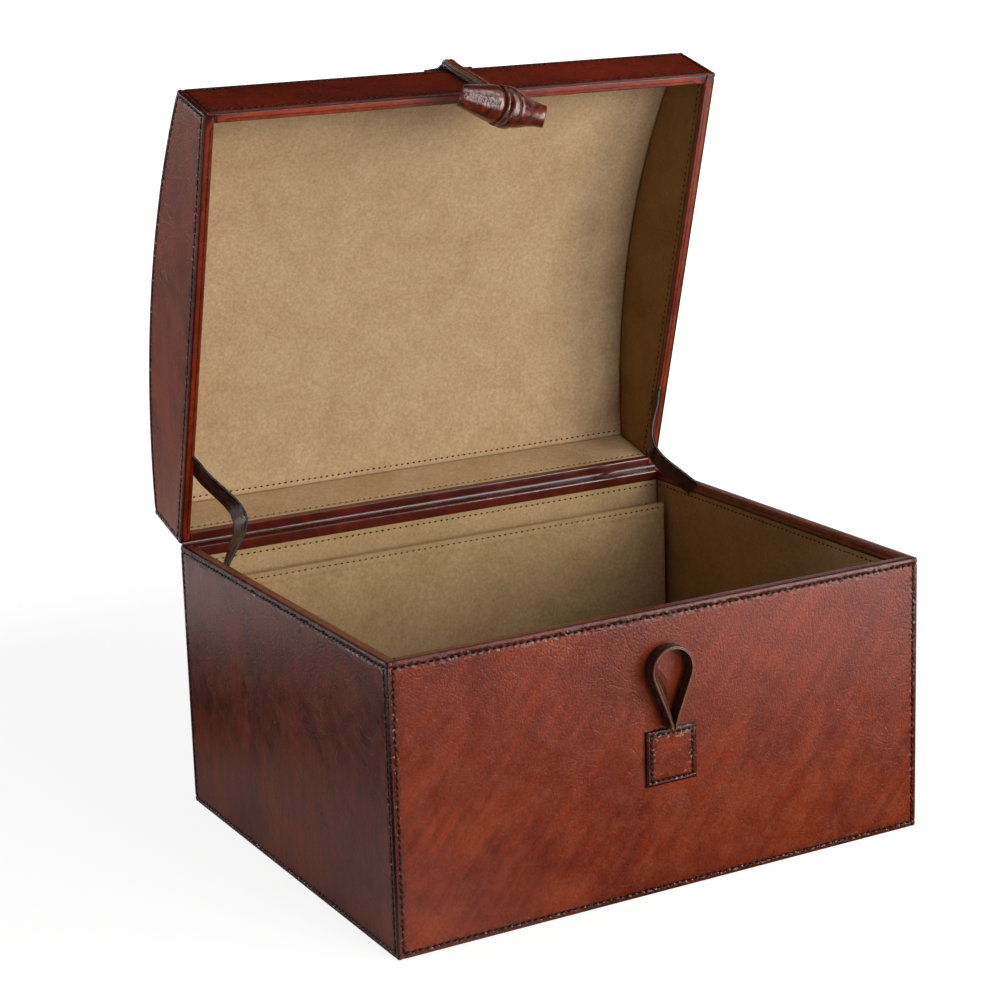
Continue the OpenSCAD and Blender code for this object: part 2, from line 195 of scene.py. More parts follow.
print("sRGB", "#7a3022", "is linear", [round(c, 3) for c in colour("#7a3022")])

# %% [markdown]
# ## Outer leather
#
# The panels are vegetable-tanned cowhide, dyed by hand and waxed. Dye taken up unevenly gives clouds of
# plum and brick, and wiping it on leaves faint strokes. The grain is a fine pebble of about a
# millimetre, with a few nicks and creases in it, and it is smoother on the sides than on the front. The
# cut edges and the sewing lines are burnished nearly black, and the thread pulls the leather into small
# folds. Each sheet carries an attribute with the distance from its edge in millimetres, so the burnish
# and the folds follow the edge of any panel.

# %% Leather


def leather(name, body, deep, pale, burnt, rough=0.38, gloss=0.5, cloud_mm=60, margin=0.0, pull=0.9,
            lie=0.7, pebble=0.42):
    made, tree = blank(bpy.data.materials, name)
    spot = place_of(tree)
    cloud = ramp(tree, patches(tree, spot, cloud_mm, 5.0, 0.62, 0.7), (0.36, 0), (0.64, 1))
    blotches = patches(tree, spot, 11, 7.0, 0.68, 0.4)
    blotch = ramp(tree, blotches, (0.42, 0), (0.72, 0.5))
    dyed = mix(tree, blotch, mix(tree, cloud, deep, body), pale)
    crease = ramp(tree, patches(tree, spot, 34, 3.0, 0.5, 1.6), (0.485, 0), (0.5, 0.35), (0.515, 0))
    creased = mix(tree, crease, dyed, deep)
    # Scattered nicks, a millimetre or so long
    spread = add(tree, "Mapping", {"Vector": spot, "Rotation": (0.3, 0.7, 0.2), "Scale": (1.0, 0.5, 0.35)})
    nicks = add(tree, "TexVoronoi", {"Vector": spread.outputs[0], "Scale": 1000 / 40})
    nick = ramp(tree, nicks.outputs["Distance"], (0.012, 0.75), (0.03, 0))
    nicked = mix(tree, nick, creased, burnt)
    # Real grain is about 0.8 mm; it is drawn at 1.1 mm so that it shows at this distance
    grain = add(tree, "TexVoronoi", {"Vector": spot, "Scale": 1000 / 1.1, "Smoothness": 0.5},
                feature="SMOOTH_F1").outputs["Distance"]
    speck = ramp(tree, patches(tree, spot, 1.6, 3.0), (0.3, 0.78), (0.7, 1.18))
    grained = mix(tree, 1.0, nicked, speck, "MULTIPLY")
    # The dye is wiped on, which leaves faint strokes along one way of the hide
    wiped = add(tree, "Mapping", {"Vector": spot, "Rotation": (0.0, lie, 0.0), "Scale": (1.0, 1.0, 9.0)},
                vector_type="TEXTURE").outputs[0]
    stroke = ramp(tree, patches(tree, wiped, 4.5, 4.0, 0.6), (0.36, 0.82), (0.64, 1.12))
    streaked = mix(tree, 1.0, grained, stroke, "MULTIPLY")
    # The burnish and the folds between the stitches run by the distance from the edge, over 10 mm
    share = calc(tree, "MULTIPLY", add(tree, "Attribute", attribute_name="edge").outputs["Fac"], 0.1)
    burnish = ramp(tree, share, (0.0, 1), (0.04, 0.9), (0.09, 0.3), (0.15, margin), (0.25, margin),
                   (0.29, 0.7), (0.31, 0.7), (0.36, 0.16), (0.9, 0))
    edged = mix(tree, burnish, streaked, burnt)
    polish = scaled(tree, blotches, 0.3, 0.75, rough - 0.07, rough + 0.1)
    rough_all = calc(tree, "ADD", polish, scaled(tree, burnish, 0.0, 1.0, 0.0, -0.16))
    seam_zone = ramp(tree, share, (0.1, 0), (0.22, 1), (0.38, 1), (0.55, 0))
    level = calc(tree, "ADD", patches(tree, spot, 3.4, 1.0), -0.5)
    fine = bumped(tree, grain, pebble, -0.4)
    drawn = bumped(tree, calc(tree, "MULTIPLY", level, seam_zone), pull, 1.8, fine)
    surface(tree, edged, rough_all, gloss, bumped(tree, crease, 0.5, -0.3, drawn))
    return made


smooth = {"lie": 0.0, "pebble": 0.2, "margin": 0.5}
rim_calf = {"rough": 0.36, "cloud_mm": 30, "pull": 0.1, "pebble": 0.15}
panel_leather = leather("waxed cowhide, brick brown", "#7f2e0e", "#64210c", "#863c1f", "#1c0d0a",
                        rough=0.34, margin=0.6, pebble=0.3)
# Painted shade: the box's left side, turned away from the key light, gets a darker copy of the front's
# leather
shaded_left_leather = leather("waxed cowhide, left side, painted shade", "#7b2b10", "#541808", "#8a3c20", "#150b09",
                       rough=0.32, gloss=0.4, **smooth)
# Painted light: the lid's left end gets a brighter, redder copy of the leather, for the light that falls on
# it
lit_lid_end_leather = leather("waxed cowhide, lid end, painted light", "#a04220", "#782a12", "#944426", "#150b09",
                      rough=0.33, gloss=0.34, **smooth)
lid_leather = leather("waxed cowhide, lid", "#8a290c", "#651d09", "#903013", "#140a08", rough=0.33, gloss=0.2)
rim_leather = leather("rim calf, red brown", "#943615", "#76270f", "#9c4826", "#2a0e0a",
                      gloss=0.4, **rim_calf)
# Painted shade: a darker copy of the rim calf, used only on the lid's left rim, where no sheen falls
shaded_rim_leather = leather("rim calf, painted shade", "#84280d", "#68200b", "#8c3a1c", "#260c08",
                           gloss=0.25, **rim_calf)
strap_leather = leather("oiled strap leather", "#4c1b10", "#2c0f09", "#662c1c", "#120806", rough=0.36,
                        cloud_mm=26, pull=0.0, pebble=0.2)
print("leathers made:", len(bpy.data.materials))

# %% [markdown]
# The hinge strip, its dark facings and the rolled toggle are glazed: polished under a hot glass roller, so
# that a clear hard gloss lies over the dye. It shows as narrow bright lines on every rounded edge.

# %% Glazed leather


def glazed(name, dark, body, pale, mottle_mm, wrinkle_mm, deep_mm):
    made, tree = blank(bpy.data.materials, name)
    spot = place_of(tree)
    mottle = patches(tree, spot, mottle_mm, 6.0, 0.7, 0.8)
    tone = ramp(tree, mottle, (0.34, dark), (0.52, body), (0.72, pale))
    bump = bumped(tree, patches(tree, spot, wrinkle_mm, 4.0, 0.6, 0.6), 0.4, deep_mm)
    surface(tree, tone, 0.45, 0.15, bump, Coat_Weight=1.0, Coat_Roughness=0.07, Coat_IOR=1.75,
            Coat_Normal=bump)
    return made


hinge_leather = glazed("glazed calf, dark", "#3e0d05", "#541508", "#66210f", 22, 15, 0.8)
toggle_leather = glazed("glazed leather, rolled", "#2a0a03", "#5e1d0b", "#8c3a1a", 5, 2.4, 0.9)
print("glazed leathers:", hinge_leather.name, "and", toggle_leather.name)

# %% [markdown]
# ## Suede, thread and board
#
# The lining is pigskin suede: no gloss, a soft nap brushed lighter and darker, and a little sheen at a
# grazing look. It is one suede drawn in three copies: the plain tan in the lid, a darker copy in the box
# that is painted shade, and the darkest copy on the lid's end linings, painted deep shade. The thread
# outside is waxed linen, nearly black, and shiny enough to catch small lights; in the lining it is plain
# and brown, and on the toggle's strap it is drawn tan as a painted highlight. The boards inside are grey
# pulp board, which shows nowhere when the box is whole.

# %% Suede


def suede(name, body, brushed, shade):
    made, tree = blank(bpy.data.materials, name)
    spot = place_of(tree)
    stroke = ramp(tree, patches(tree, spot, 34, 8.0, 0.72, 0.3), (0.3, shade), (0.5, body), (0.7, brushed))
    nap = patches(tree, spot, 1.8, 4.0, 0.7)
    napped = mix(tree, 1.0, stroke, ramp(tree, nap, (0.3, 0.78), (0.7, 1.16)), "MULTIPLY")
    rub = scaled(tree, add(tree, "Attribute", attribute_name="edge").outputs["Fac"], 0.1, 0.9, 0.5, 0.0)
    surface(tree, mix(tree, rub, napped, shade), 0.95, 0.15, bumped(tree, nap, 0.35, 0.4),
            Sheen_Weight=0.18, Sheen_Roughness=0.5, Sheen_Tint=brushed)
    return made


lining_suede = suede("pigskin suede, tan", "#bb9c77", "#c2a480", "#b1916c")
# Painted shade: the box's inside and its pocket get a darker copy of the suede
shaded_box_suede = suede("pigskin suede, box, painted shade", "#b3946b", "#bc9d75", "#a6875d")
# Painted deep shade: the lid's end linings get the darkest copy of the suede
deep_shaded_end_suede = suede("pigskin suede, lid ends, painted deep shade", "#987546", "#a27f51", "#8a683a")

# %% Thread and board


def plain(name, dark, light, rough, gloss, fibre=(0.8, 2.0), strength=0.4):
    made, tree = blank(bpy.data.materials, name)
    twist = patches(tree, place_of(tree), *fibre)
    surface(tree, ramp(tree, twist, (0.3, dark), (0.7, light)), rough, gloss,
            bumped(tree, twist, strength, 0.2))
    return made


thread = plain("waxed linen thread", "#080504", "#1a100d", 0.4, 0.35)
inner_thread = plain("plain linen thread, brown", "#1c1006", "#2e1c0c", 0.85, 0.1)
# Painted highlight: the strap's thread is drawn tan for the glints of light along its stitches
glint_strap_thread = plain("waxed linen thread, painted glint", "#7a4a2c", "#b98560", 0.4, 0.5)
board = plain("grey pulp board", "#8f7853", "#ab9069", 0.9, 0.5, fibre=(1.5, 6.0, 0.7), strength=0.3)
boards = [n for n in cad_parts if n.endswith("board")]
for name in boards:
    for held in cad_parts[name].material_slots:
        held.material = board
print("boards that keep their CAD solids:", len(boards))

# %% [markdown]
# ## Sheets
#
# A sheet starts as a flat grid. Its lines are close together along the edges, where each line has its
# own height, so that a lip, a rounded edge and the groove of a seam come from a short list of pairs of
# distance and height. The grid is extruded to its thickness and then each point is moved to its place
# by a function, flat for a wall and bent for the dome, a rim or a strap.

# %% Edge shapes, as distance from the edge and height; a third value sets the distance for the burnish
seam = [(0.9, -1.1), (0.62, -0.65), (0.72, -0.3), (1.1, -0.1), (1.8, 0.0), (2.6, -0.05), (3.1, -0.24),
        (3.5, -0.42), (3.9, -0.24), (4.6, -0.06), (6.5, 0.0), (9.0, 0.0)]
roll = [(0.05, -1.1, 0.0), (0.08, -0.85, 0.6), (0.25, -0.5, 0.7), (0.55, -0.22, 0.8), (1.0, -0.06, 0.9),
        (1.7, 0.0, 1.2), (2.5, -0.02, 1.8), (3.0, -0.2), (3.5, -0.5), (4.0, -0.24), (4.7, -0.05), (6.5, 0.0),
        (9.0, 0.0)]
foot = [(0.5, -1.45), (0.3, -1.1), (0.35, -0.7), (0.7, -0.3), (1.3, -0.07), (2.2, 0.0), (3.0, -0.16),
        (3.5, -0.4), (4.0, -0.18), (4.8, -0.04), (6.5, 0.0), (9.0, 0.0)]
cut = [(0.06, -1.0), (0.0, -0.6), (0.08, -0.25), (0.3, -0.07), (0.8, 0.0), (2.0, 0.0)]
thin_cut = [(0.0, -0.5), (0.04, -0.15), (0.25, 0.0), (0.7, 0.0)]
tuck = [(0.0, -0.7), (0.1, -0.3), (0.4, -0.08), (1.0, 0.0)]
sewn = [(0.0, -0.7), (0.1, -0.3), (0.5, -0.05), (1.5, 0.0), (2.4, -0.12), (3.0, -0.4), (3.6, -0.12),
        (4.6, 0.0), (7.0, 0.0)]
hem = [(0.15, -2.3), (-0.05, -1.9), (-0.1, -1.3), (-0.05, -0.7), (0.2, -0.3), (0.7, -0.05), (1.5, 0.0),
       (2.3, -0.1), (2.8, -0.35), (3.3, -0.1), (4.2, 0.0), (6.6, 0.0), (7.2, -0.28), (7.8, -0.3),
       (9.0, -0.3)]
hidden_end = [(0, 0)]
# The burnish starts at the lip, whose bare side lies lower than lip_low
lip, lip_low = 0.5, -0.9


def worn(profile):
    return [(p[0], p[1], p[2] if len(p) > 2 else max(0.0, p[0] - lip) * (p[1] > lip_low)) for p in profile]


def lines(length, first, last, step=9.0, at=None):
    low, high = first[-1][0], length - last[-1][0]
    count = max(1, round((high - low) / step))
    at = at or [low + (high - low) * k / count for k in range(1, count)]
    middle = [(p, 0.0, min(p, length - p) - lip) for p in at]
    return worn(first) + middle + [(length - d, h, e) for d, h, e in reversed(worn(last))]


def sheet(us, vs, thick, place, wave=0.12, wave_mm=45.0, seed=0.0, inset=0.0, shape=None):
    calm_mm, least_t = 8, 0.4
    bm = bmesh.new()
    wide, tall = len(us) - 1, len(vs) - 1
    bmesh.ops.create_grid(bm, x_segments=wide, y_segments=tall, size=1)
    edge = bm.verts.layers.float.new("edge")
    length, height = max(u for u, *_ in us), max(v for v, *_ in vs)
    for vert in bm.verts:
        u, rise_u, worn_u = us[round((vert.co.x + 1) / 2 * wide)]
        v, rise_v, worn_v = vs[round((vert.co.y + 1) / 2 * tall)]
        reach = min(u, v, length - u, height - v)
        ripple = noise.noise(Vector((u / wave_mm, v / wave_mm, seed)))
        lift = shape(u, v) if shape else 0.0
        vert.co = (u, v, rise_u + rise_v + lift + wave * ripple * min(1.0, max(0.0, reach / calm_mm)))
        vert[edge] = min(worn_u, worn_v)
    grown = bmesh.ops.extrude_face_region(bm, geom=bm.faces[:], use_keep_orig=True)
    for vert in (g for g in grown["geom"] if isinstance(g, bmesh.types.BMVert)):
        vert.co.x = min(max(vert.co.x, inset), length - inset)
        vert.co.y = min(max(vert.co.y, inset), height - inset)
        vert.co.z = min(-thick, vert.co.z - least_t)
    for vert in bm.verts:
        vert.co = place(*vert.co)
    bmesh.ops.recalc_face_normals(bm, faces=bm.faces[:])
    return bm


def keep(bm, name, material, body=None, nodes=()):
    mesh = bpy.data.meshes.new(name)
    bm.to_mesh(mesh)
    bm.free()
    mesh.shade_smooth()
    made = bpy.data.objects.new(name, mesh)
    bpy.context.scene.collection.objects.link(made)
    mesh.materials.append(material)
    if body:
        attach(made, body)
    if nodes:
        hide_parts(*nodes)
    return made


def cover(node, kind, material, body, slot, *shape, **ripple):
    keep(sheet(*shape, **ripple), node + "_" + kind, material, body, [node])


# %% [markdown]
# ## Stitches
#
# Every seam is saddle stitched by hand at 4 mm. Each stitch is a grain of thread with few faces, sunk
# halfway into the groove of its seam and turned a little, as hand stitches are. It is drawn flat and
# then moved by the same function as its sheet, so it lies on any curve.

# %% Stitches
outer_stitch = {"long": 3.3, "wide": 1.35, "high": 1.0, "sink": -0.12, "slant": 15.0, "pitch": stitch_pitch}
lining_stitch = {"long": 1.75, "wide": 1.0, "high": 0.7, "sink": -0.22, "slant": 8.0}
patch_stitch = {"long": 2.8, "pitch": 3.4}
strap_stitch = {"long": 2.6, "wide": 0.8, "pitch": 3.4}


def stitches(group, place, start, end, **changes):
    size = {**outer_stitch, **changes}
    bm = bmesh.new()
    start, end = Vector(start), Vector(end)
    run = end - start
    count = max(1, round(run.length / size["pitch"]))
    way = math.atan2(run.y, run.x) + math.radians(size["slant"])
    turn = Matrix.Rotation(way, 4, "Z") @ Matrix.Rotation(math.pi / 2, 4, "Y")
    shape = Matrix.Diagonal((size["high"] / 2, size["wide"] / 2, size["long"] / 2, 1))
    for k in range(count):
        spot = start + run * (k + 0.5) / count
        at = Matrix.Translation((spot.x, spot.y, size["sink"])) @ turn @ shape
        grain = bmesh.ops.create_uvsphere(bm, u_segments=6, v_segments=5, radius=1, matrix=at)
        for vert in grain["verts"]:
            vert.co = place(*vert.co)
    row = bpy.data.meshes.new("row")
    bm.to_mesh(row)
    bm.free()
    group.from_mesh(row)
    bpy.data.meshes.remove(row)


def row_at(group, place, v, first, last, **changes):
    stitches(group, place, (first, v), (last, v), **changes)


def border(bm, place, width, height, sides="lrbt", inset=stitch_inset, **changes):
    low, right, top = inset, width - inset, height - inset
    rows = {"b": ((low, low), (right, low)), "t": ((low, top), (right, top)),
            "l": ((low, low), (low, top)), "r": ((right, low), (right, top))}
    for side in sides:
        stitches(bm, place, *rows[side], **changes)


# %% [markdown]
# ## The box's outer panels
#
# Four walls and the underside, each its own panel. The corners are closed edge to edge, with a dark
# groove between two burnished lips. The top edge rolls over toward the rim.

# %% Outer panels of the box
box_thread = bmesh.new()
box_skin_t = leather_t - hair
back_h = box_h - hinge_leather_h
for name, width, height, top, skin, face in (
    ("front_leather", box_w, box_h, roll, panel_leather,
     lambda u, v, w: in_box(u - box_w / 2, -box_d / 2 - w, v)),
    ("back_leather", box_w, back_h, cut, panel_leather,
     lambda u, v, w: in_box(box_w / 2 - u, box_d / 2 + w, v)),
    ("left_leather", box_d, box_h, roll, shaded_left_leather,
     lambda u, v, w: in_box(-box_w / 2 - w, box_d / 2 - u, v)),
    ("right_leather", box_d, box_h, roll, panel_leather,
     lambda u, v, w: in_box(box_w / 2 + w, u - box_d / 2, v)),
):
    cover(name, "skin", skin, "box", "outer_leather", lines(width, seam, seam), lines(height, foot, top),
          box_skin_t, face, seed=width + height, inset=box_skin_t)
    border(box_thread, face, width, height)
cover("floor_leather", "skin", panel_leather, "box", "outer_leather",
      lines(box_w - 2 * leather_t, tuck, tuck, 20), lines(box_d - 2 * leather_t, tuck, tuck, 20), box_skin_t,
      lambda u, v, w: in_box(u - box_w / 2 + leather_t, box_d / 2 - leather_t - v, -w), wave=0)
keep(box_thread, "box_thread", thread, "box")

# %% [markdown]
# ## Bent strips
#
# A rim leather goes over the top of a wall and down inside as a facing. Its cross-section is a route of
# points, and a point of the sheet is placed by its distance along the route and its height above it.

# %% Routes


def follow(points):
    points = [Vector(p) for p in points]
    runs = [(b - a) for a, b in zip(points, points[1:])]
    marks = [0.0]
    for run in runs:
        marks.append(marks[-1] + run.length)
    outs = [Vector((-run.y, run.x)).normalized() for run in runs]
    outs = [outs[0]] + [(a + b).normalized() for a, b in zip(outs, outs[1:])] + [outs[-1]]

    def place(p, w):
        k = 0
        while k < len(runs) - 1 and p > marks[k + 1]:
            k += 1
        share = (p - marks[k]) / (marks[k + 1] - marks[k])
        out = outs[k].lerp(outs[k + 1], min(1.0, max(0.0, share))).normalized()
        return points[k] + runs[k] * share + out * w

    return place, marks


def strip_lines(marks, first=hidden_end, last=hidden_end):
    low, high = first[-1][0] + hair, marks[-1] - last[-1][0] - hair
    return lines(marks[-1], first, last, at=[m for m in marks if low < m < high])


def rim_route(depth, start, facing):
    # Pairs of depth from the wall's outside and height above the rim
    return follow([(start, -0.7), (start + 0.06, -0.15), (start + 0.4, 0.0), (start + 1.2, 0.0),
                   (depth - 1.0, 0.0), (depth - 0.4, -0.06), (depth - 0.1, -0.3), (depth, -0.8),
                   (depth, -2.2), (depth, -0.6 * facing), (depth, -facing)])


def cover_rims(body, rims):
    for name, length, (route, marks), skin, face in rims:

        def place(u, p, w, route=route, face=face):
            spot = route(p, w)
            return face(u, spot.x, spot.y)

        cover(name, "skin", skin, body, "rim_leather", lines(length, thin_cut, thin_cut),
              strip_lines(marks, thin_cut, thin_cut), rim_t - 2 * hair, place, wave=0.08, wave_mm=14)


# How far in from the wall's outside a rim leather starts, at the hinge and along a rolled edge
hinge_start, roll_start = 0.3, 1.0
side_rim = rim_route(wall_t, roll_start, facing_h)
print("rim leather is", round(side_rim[1][-1], 1), "mm wide")

# %% Rims of the box
in_w = box_w - 2 * wall_t
rim_run = box_d - roll_start - leather_t
cover_rims("box", (
    ("front_rim", in_w, side_rim, rim_leather,
     lambda u, depth, z: in_box(u - in_w / 2, depth - box_d / 2, box_h + z)),
    ("back_rim", in_w, rim_route(back_wall_t, hinge_start, facing_h), hinge_leather,
     lambda u, depth, z: in_box(u - in_w / 2, box_d / 2 - depth, box_h + z)),
    ("left_rim", rim_run, side_rim, rim_leather,
     lambda u, depth, z: in_box(depth - box_w / 2, u - box_d / 2 + roll_start, box_h + z)),
    ("right_rim", rim_run, side_rim, rim_leather,
     lambda u, depth, z: in_box(box_w / 2 - depth, u - box_d / 2 + roll_start, box_h + z)),
))
print("length of a side rim, mm:", rim_run)

# %% [markdown]
# ## The box's lining
#
# Suede on each wall and the floor, sewn through the wall along its top edge. The stitches pull into
# the nap, so from here they show as a row of small dark dots.

# %% Lining of the box
suede_t = lining_t - 2 * hair
row_low, row_end = 3.0, 2
lining_h = box_h - facing_h - floor_z
in_d = box_d - wall_t - back_wall_t
inside_front, inside_back = -box_d / 2 + wall_t, box_d / 2 - back_wall_t
lining_thread = bmesh.new()
for name, length, face in (
    ("front_lining", in_w, lambda u, v, w: in_box(u - in_w / 2, inside_front + w, floor_z + v)),
    ("back_lining", in_w, lambda u, v, w: in_box(u - in_w / 2, inside_back - w, floor_z + v)),
    ("left_lining", in_d, lambda u, v, w: in_box(-in_w / 2 + w, inside_front + u, floor_z + v)),
    ("right_lining", in_d, lambda u, v, w: in_box(in_w / 2 - w, inside_front + u, floor_z + v)),
):
    cover(name, "suede", shaded_box_suede, "box", "suede", lines(length, tuck, tuck, 12),
          lines(lining_h, tuck, sewn, 12), suede_t, face, wave=0.35, wave_mm=30, seed=length)
    row_at(lining_thread, face, lining_h - row_low, row_end, length - row_end, **lining_stitch)
cover("floor_lining", "suede", shaded_box_suede, "box", "suede", lines(in_w, tuck, tuck, 12),
      lines(in_d, tuck, tuck, 12), suede_t,
      lambda u, v, w: in_box(u - in_w / 2, inside_front + v, floor_z + w), wave=0.35, wave_mm=30)
print("lined depth, mm:", lining_h)

# %% [markdown]
# ## The pocket
#
# A stiffened suede panel stands off the back wall to hold papers. Its top edge is hemmed, with one row
# of stitches near the edge, and its ends are joined to the back wall by folded gussets.

# %% Pocket
pocket_t, pocket_gap, pocket_drop, pocket_play, pocket_crown = 2.6, 9.2, 18.5, 2.4, 0.5
hem_row, hem_end = 2.8, 2.5
panel_end = in_w / 2 - pocket_play
pocket_front = inside_back - pocket_gap - pocket_t
pocket_h = box_h - pocket_drop - floor_z


def pocket_face(u, v, w):
    return in_box(u - panel_end, pocket_front - w, floor_z + v)


cover("pocket_panel", "suede", shaded_box_suede, "box", "suede", lines(2 * panel_end, cut, cut, 10),
      lines(pocket_h, tuck, hem, 10), pocket_t - hair, pocket_face, wave=0.4, wave_mm=50,
      shape=lambda u, v: pocket_crown * math.sin(math.pi * v / pocket_h))
row_at(lining_thread, pocket_face, pocket_h - hem_row, hem_end, 2 * panel_end - hem_end, **lining_stitch)
keep(lining_thread, "lining_thread", inner_thread, "box")

gusset_fold, gusset_in, gusset_low = 2.6, 6.4, 1.5
gusset_depth = inside_back - pocket_front - pocket_t
for side, name in ((-1, "left_pocket_gusset"), (1, "right_pocket_gusset")):

    def gusset_face(u, v, w, side=side):
        fold = gusset_fold * math.sin(math.pi * u / gusset_depth) * min(1.0, (pocket_h - v) / 30 + 0.5)
        return in_box(side * (panel_end - gusset_in - fold - w), pocket_front + pocket_t + u, floor_z + v)

    cover(name, "suede", shaded_box_suede, "box", "suede", lines(gusset_depth, tuck, tuck, 1.2),
          lines(pocket_h - gusset_low, tuck, tuck, 8), suede_t, gusset_face, wave=0.1)
print("pocket height, mm:", pocket_h)

# %% [markdown]
# ## The lid's outer panels
#
# The dome is one sheet bent over the top. Its sheet coordinates run along the arc, so its grain lines,
# seam grooves and stitches keep their real spacing. The two ends are flat panels with a curved top edge:
# near the top, height is measured down from that curve.

# %% Outer panels of the lid
half_turn = math.asin(box_d / 2 / dome_r)
dome_arc = 2 * half_turn * dome_r
edge_zone = 12.0


def arch(x, radius, turn):
    return in_lid(x, box_d / 2 + radius * math.sin(turn), dome_cz + radius * math.cos(turn))


def under_arc(radius, s, v, height):
    top = dome_cz + math.sqrt(radius ** 2 - (box_d / 2 - s) ** 2)
    if v <= edge_zone:
        return v
    if v >= height - edge_zone:
        return top - (height - v)
    return edge_zone + (v - edge_zone) / (height - 2 * edge_zone) * (top - 2 * edge_zone)


lid_skin_t = leather_t - 2 * hair
hinge_top = hinge_leather_h - rim_gap
lid_thread = bmesh.new()
for name, width, height, low_edge, step, skin, face in (
    ("lid_dome_leather", box_w, dome_arc, seam, 9.0, panel_leather,
     lambda u, v, w: arch(u - box_w / 2, dome_r + w, v / dome_r - half_turn)),
    ("lid_left_leather", box_d, lid_wall_h, roll, 2, lit_lid_end_leather,
     lambda u, v, w: in_lid(-box_w / 2 - w, u, under_arc(dome_r, u, v, lid_wall_h))),
    ("lid_right_leather", box_d, lid_wall_h, roll, 2, panel_leather,
     lambda u, v, w: in_lid(box_w / 2 + w, u, under_arc(dome_r, u, v, lid_wall_h))),
    ("lid_front_leather", box_w, lid_wall_h, roll, 4, lid_leather,
     lambda u, v, w: in_lid(u - box_w / 2, box_d + w, v)),
    ("lid_back_leather", box_w, lid_wall_h - hinge_top, cut, 4, panel_leather,
     lambda u, v, w: in_lid(u - box_w / 2, -w, hinge_top + v)),
):
    cover(name, "skin", skin, "lid", "outer_leather", lines(width, seam, seam),
          lines(height, low_edge, seam, step), lid_skin_t, face, seed=len(name) + width, inset=lid_skin_t)
    border(lid_thread, face, width, height)
keep(lid_thread, "lid_thread", thread, "lid")

# %% [markdown]
# ## The lid's rims and lining
#
# The same bent strips go over the lid's rims. The lining follows the inside of the dome, and its sheets
# are sewn along the rim and along the creases where they meet.

# %% Rims of the lid
lid_run = box_d - roll_start - hinge_start
lid_rim = rim_route(wall_t, roll_start, lid_facing_h)
cover_rims("lid", (
    ("lid_front_rim", in_w, lid_rim, rim_leather,
     lambda u, depth, z: in_lid(u - in_w / 2, box_d - depth, -z)),
    ("lid_back_rim", in_w, rim_route(wall_t, hinge_start, lid_facing_h), hinge_leather,
     lambda u, depth, z: in_lid(u - in_w / 2, depth, -z)),
    ("lid_left_rim", lid_run, lid_rim, shaded_rim_leather,
     lambda u, depth, z: in_lid(depth - box_w / 2, u + hinge_start, -z)),
    ("lid_right_rim", lid_run, lid_rim, rim_leather,
     lambda u, depth, z: in_lid(box_w / 2 - depth, u + hinge_start, -z)),
))
print("length of a lid's side rim, mm:", lid_run)

# %% Lining of the lid
in_half_turn = math.asin((box_d / 2 - wall_t) / dome_in_r)
in_arc = 2 * in_half_turn * dome_in_r
in_wall_h = dome_cz + math.sqrt(dome_in_r ** 2 - (box_d / 2 - wall_t) ** 2)
lid_lining_h = in_wall_h - lid_facing_h
end_run = box_d - 2 * wall_t


def dome_lining_face(u, v, w):
    return arch(u - in_w / 2, dome_in_r - w, v / dome_in_r - in_half_turn)


def end_lining_face(side):
    def place(u, v, w):
        t = lid_facing_h + under_arc(dome_in_r, u + wall_t, v, lid_lining_h)
        if v >= lid_lining_h - edge_zone:
            t = t - lid_facing_h
        elif v > edge_zone:
            t = t - lid_facing_h * (v - edge_zone) / (lid_lining_h - 2 * edge_zone)
        return in_lid(side * (in_w / 2 - w), u + wall_t, t)

    return place


lid_lining_thread = bmesh.new()
for name, length, height, step, hide, face in (
    ("lid_dome_lining", in_w, in_arc, 10, lining_suede, dome_lining_face),
    ("lid_left_lining", end_run, lid_lining_h, 3, deep_shaded_end_suede, end_lining_face(-1)),
    ("lid_right_lining", end_run, lid_lining_h, 3, deep_shaded_end_suede, end_lining_face(1)),
    ("lid_front_lining", in_w, lid_lining_h, 5, lining_suede,
     lambda u, v, w: in_lid(u - in_w / 2, box_d - wall_t - w, lid_facing_h + v)),
    ("lid_back_lining", in_w, lid_lining_h, 5, lining_suede,
     lambda u, v, w: in_lid(u - in_w / 2, wall_t + w, lid_facing_h + v)),
):
    cover(name, "suede", hide, "lid", "suede", lines(length, tuck, tuck, 12),
          lines(height, sewn, tuck, step), suede_t, face, wave=0.3, wave_mm=32, seed=len(name) / 3)
    if name != "lid_dome_lining":
        row_at(lid_lining_thread, face, row_low, row_end, length - row_end, **lining_stitch)
border(lid_lining_thread, dome_lining_face, in_w, in_arc, sides="b", inset=row_low, **lining_stitch)
keep(lid_lining_thread, "lid_lining_thread", inner_thread, "lid")
print("inside of the lid, mm:", round(in_wall_h, 1), "high at the walls")

# %% [markdown]
# ## Hinge leather
#
# One strip across the whole back is glued and sewn to both halves. It bends along the hinge line, so
# it belongs to neither body.

# %% Hinge leather
hinge_w = box_w - 2 * leather_t
up_the_box = [(z, box_d / 2) for z in (back_h + 0.1, back_h + 5, back_h + 11, box_h - 4, box_h - 2)]
up_the_lid = [(in_lid(0, 0, t) * 1000).zy for t in (1.0, 2.2, 4.0, 9.0, 14.0, hinge_top)]
hinge_2d, hinge_marks = follow(up_the_box + [(box_h - 1, box_d / 2 + 0.1)] + up_the_lid)


def hinge_face(u, p, w):
    spot = hinge_2d(p, w)
    return in_box(u - hinge_w / 2, spot.y, spot.x)


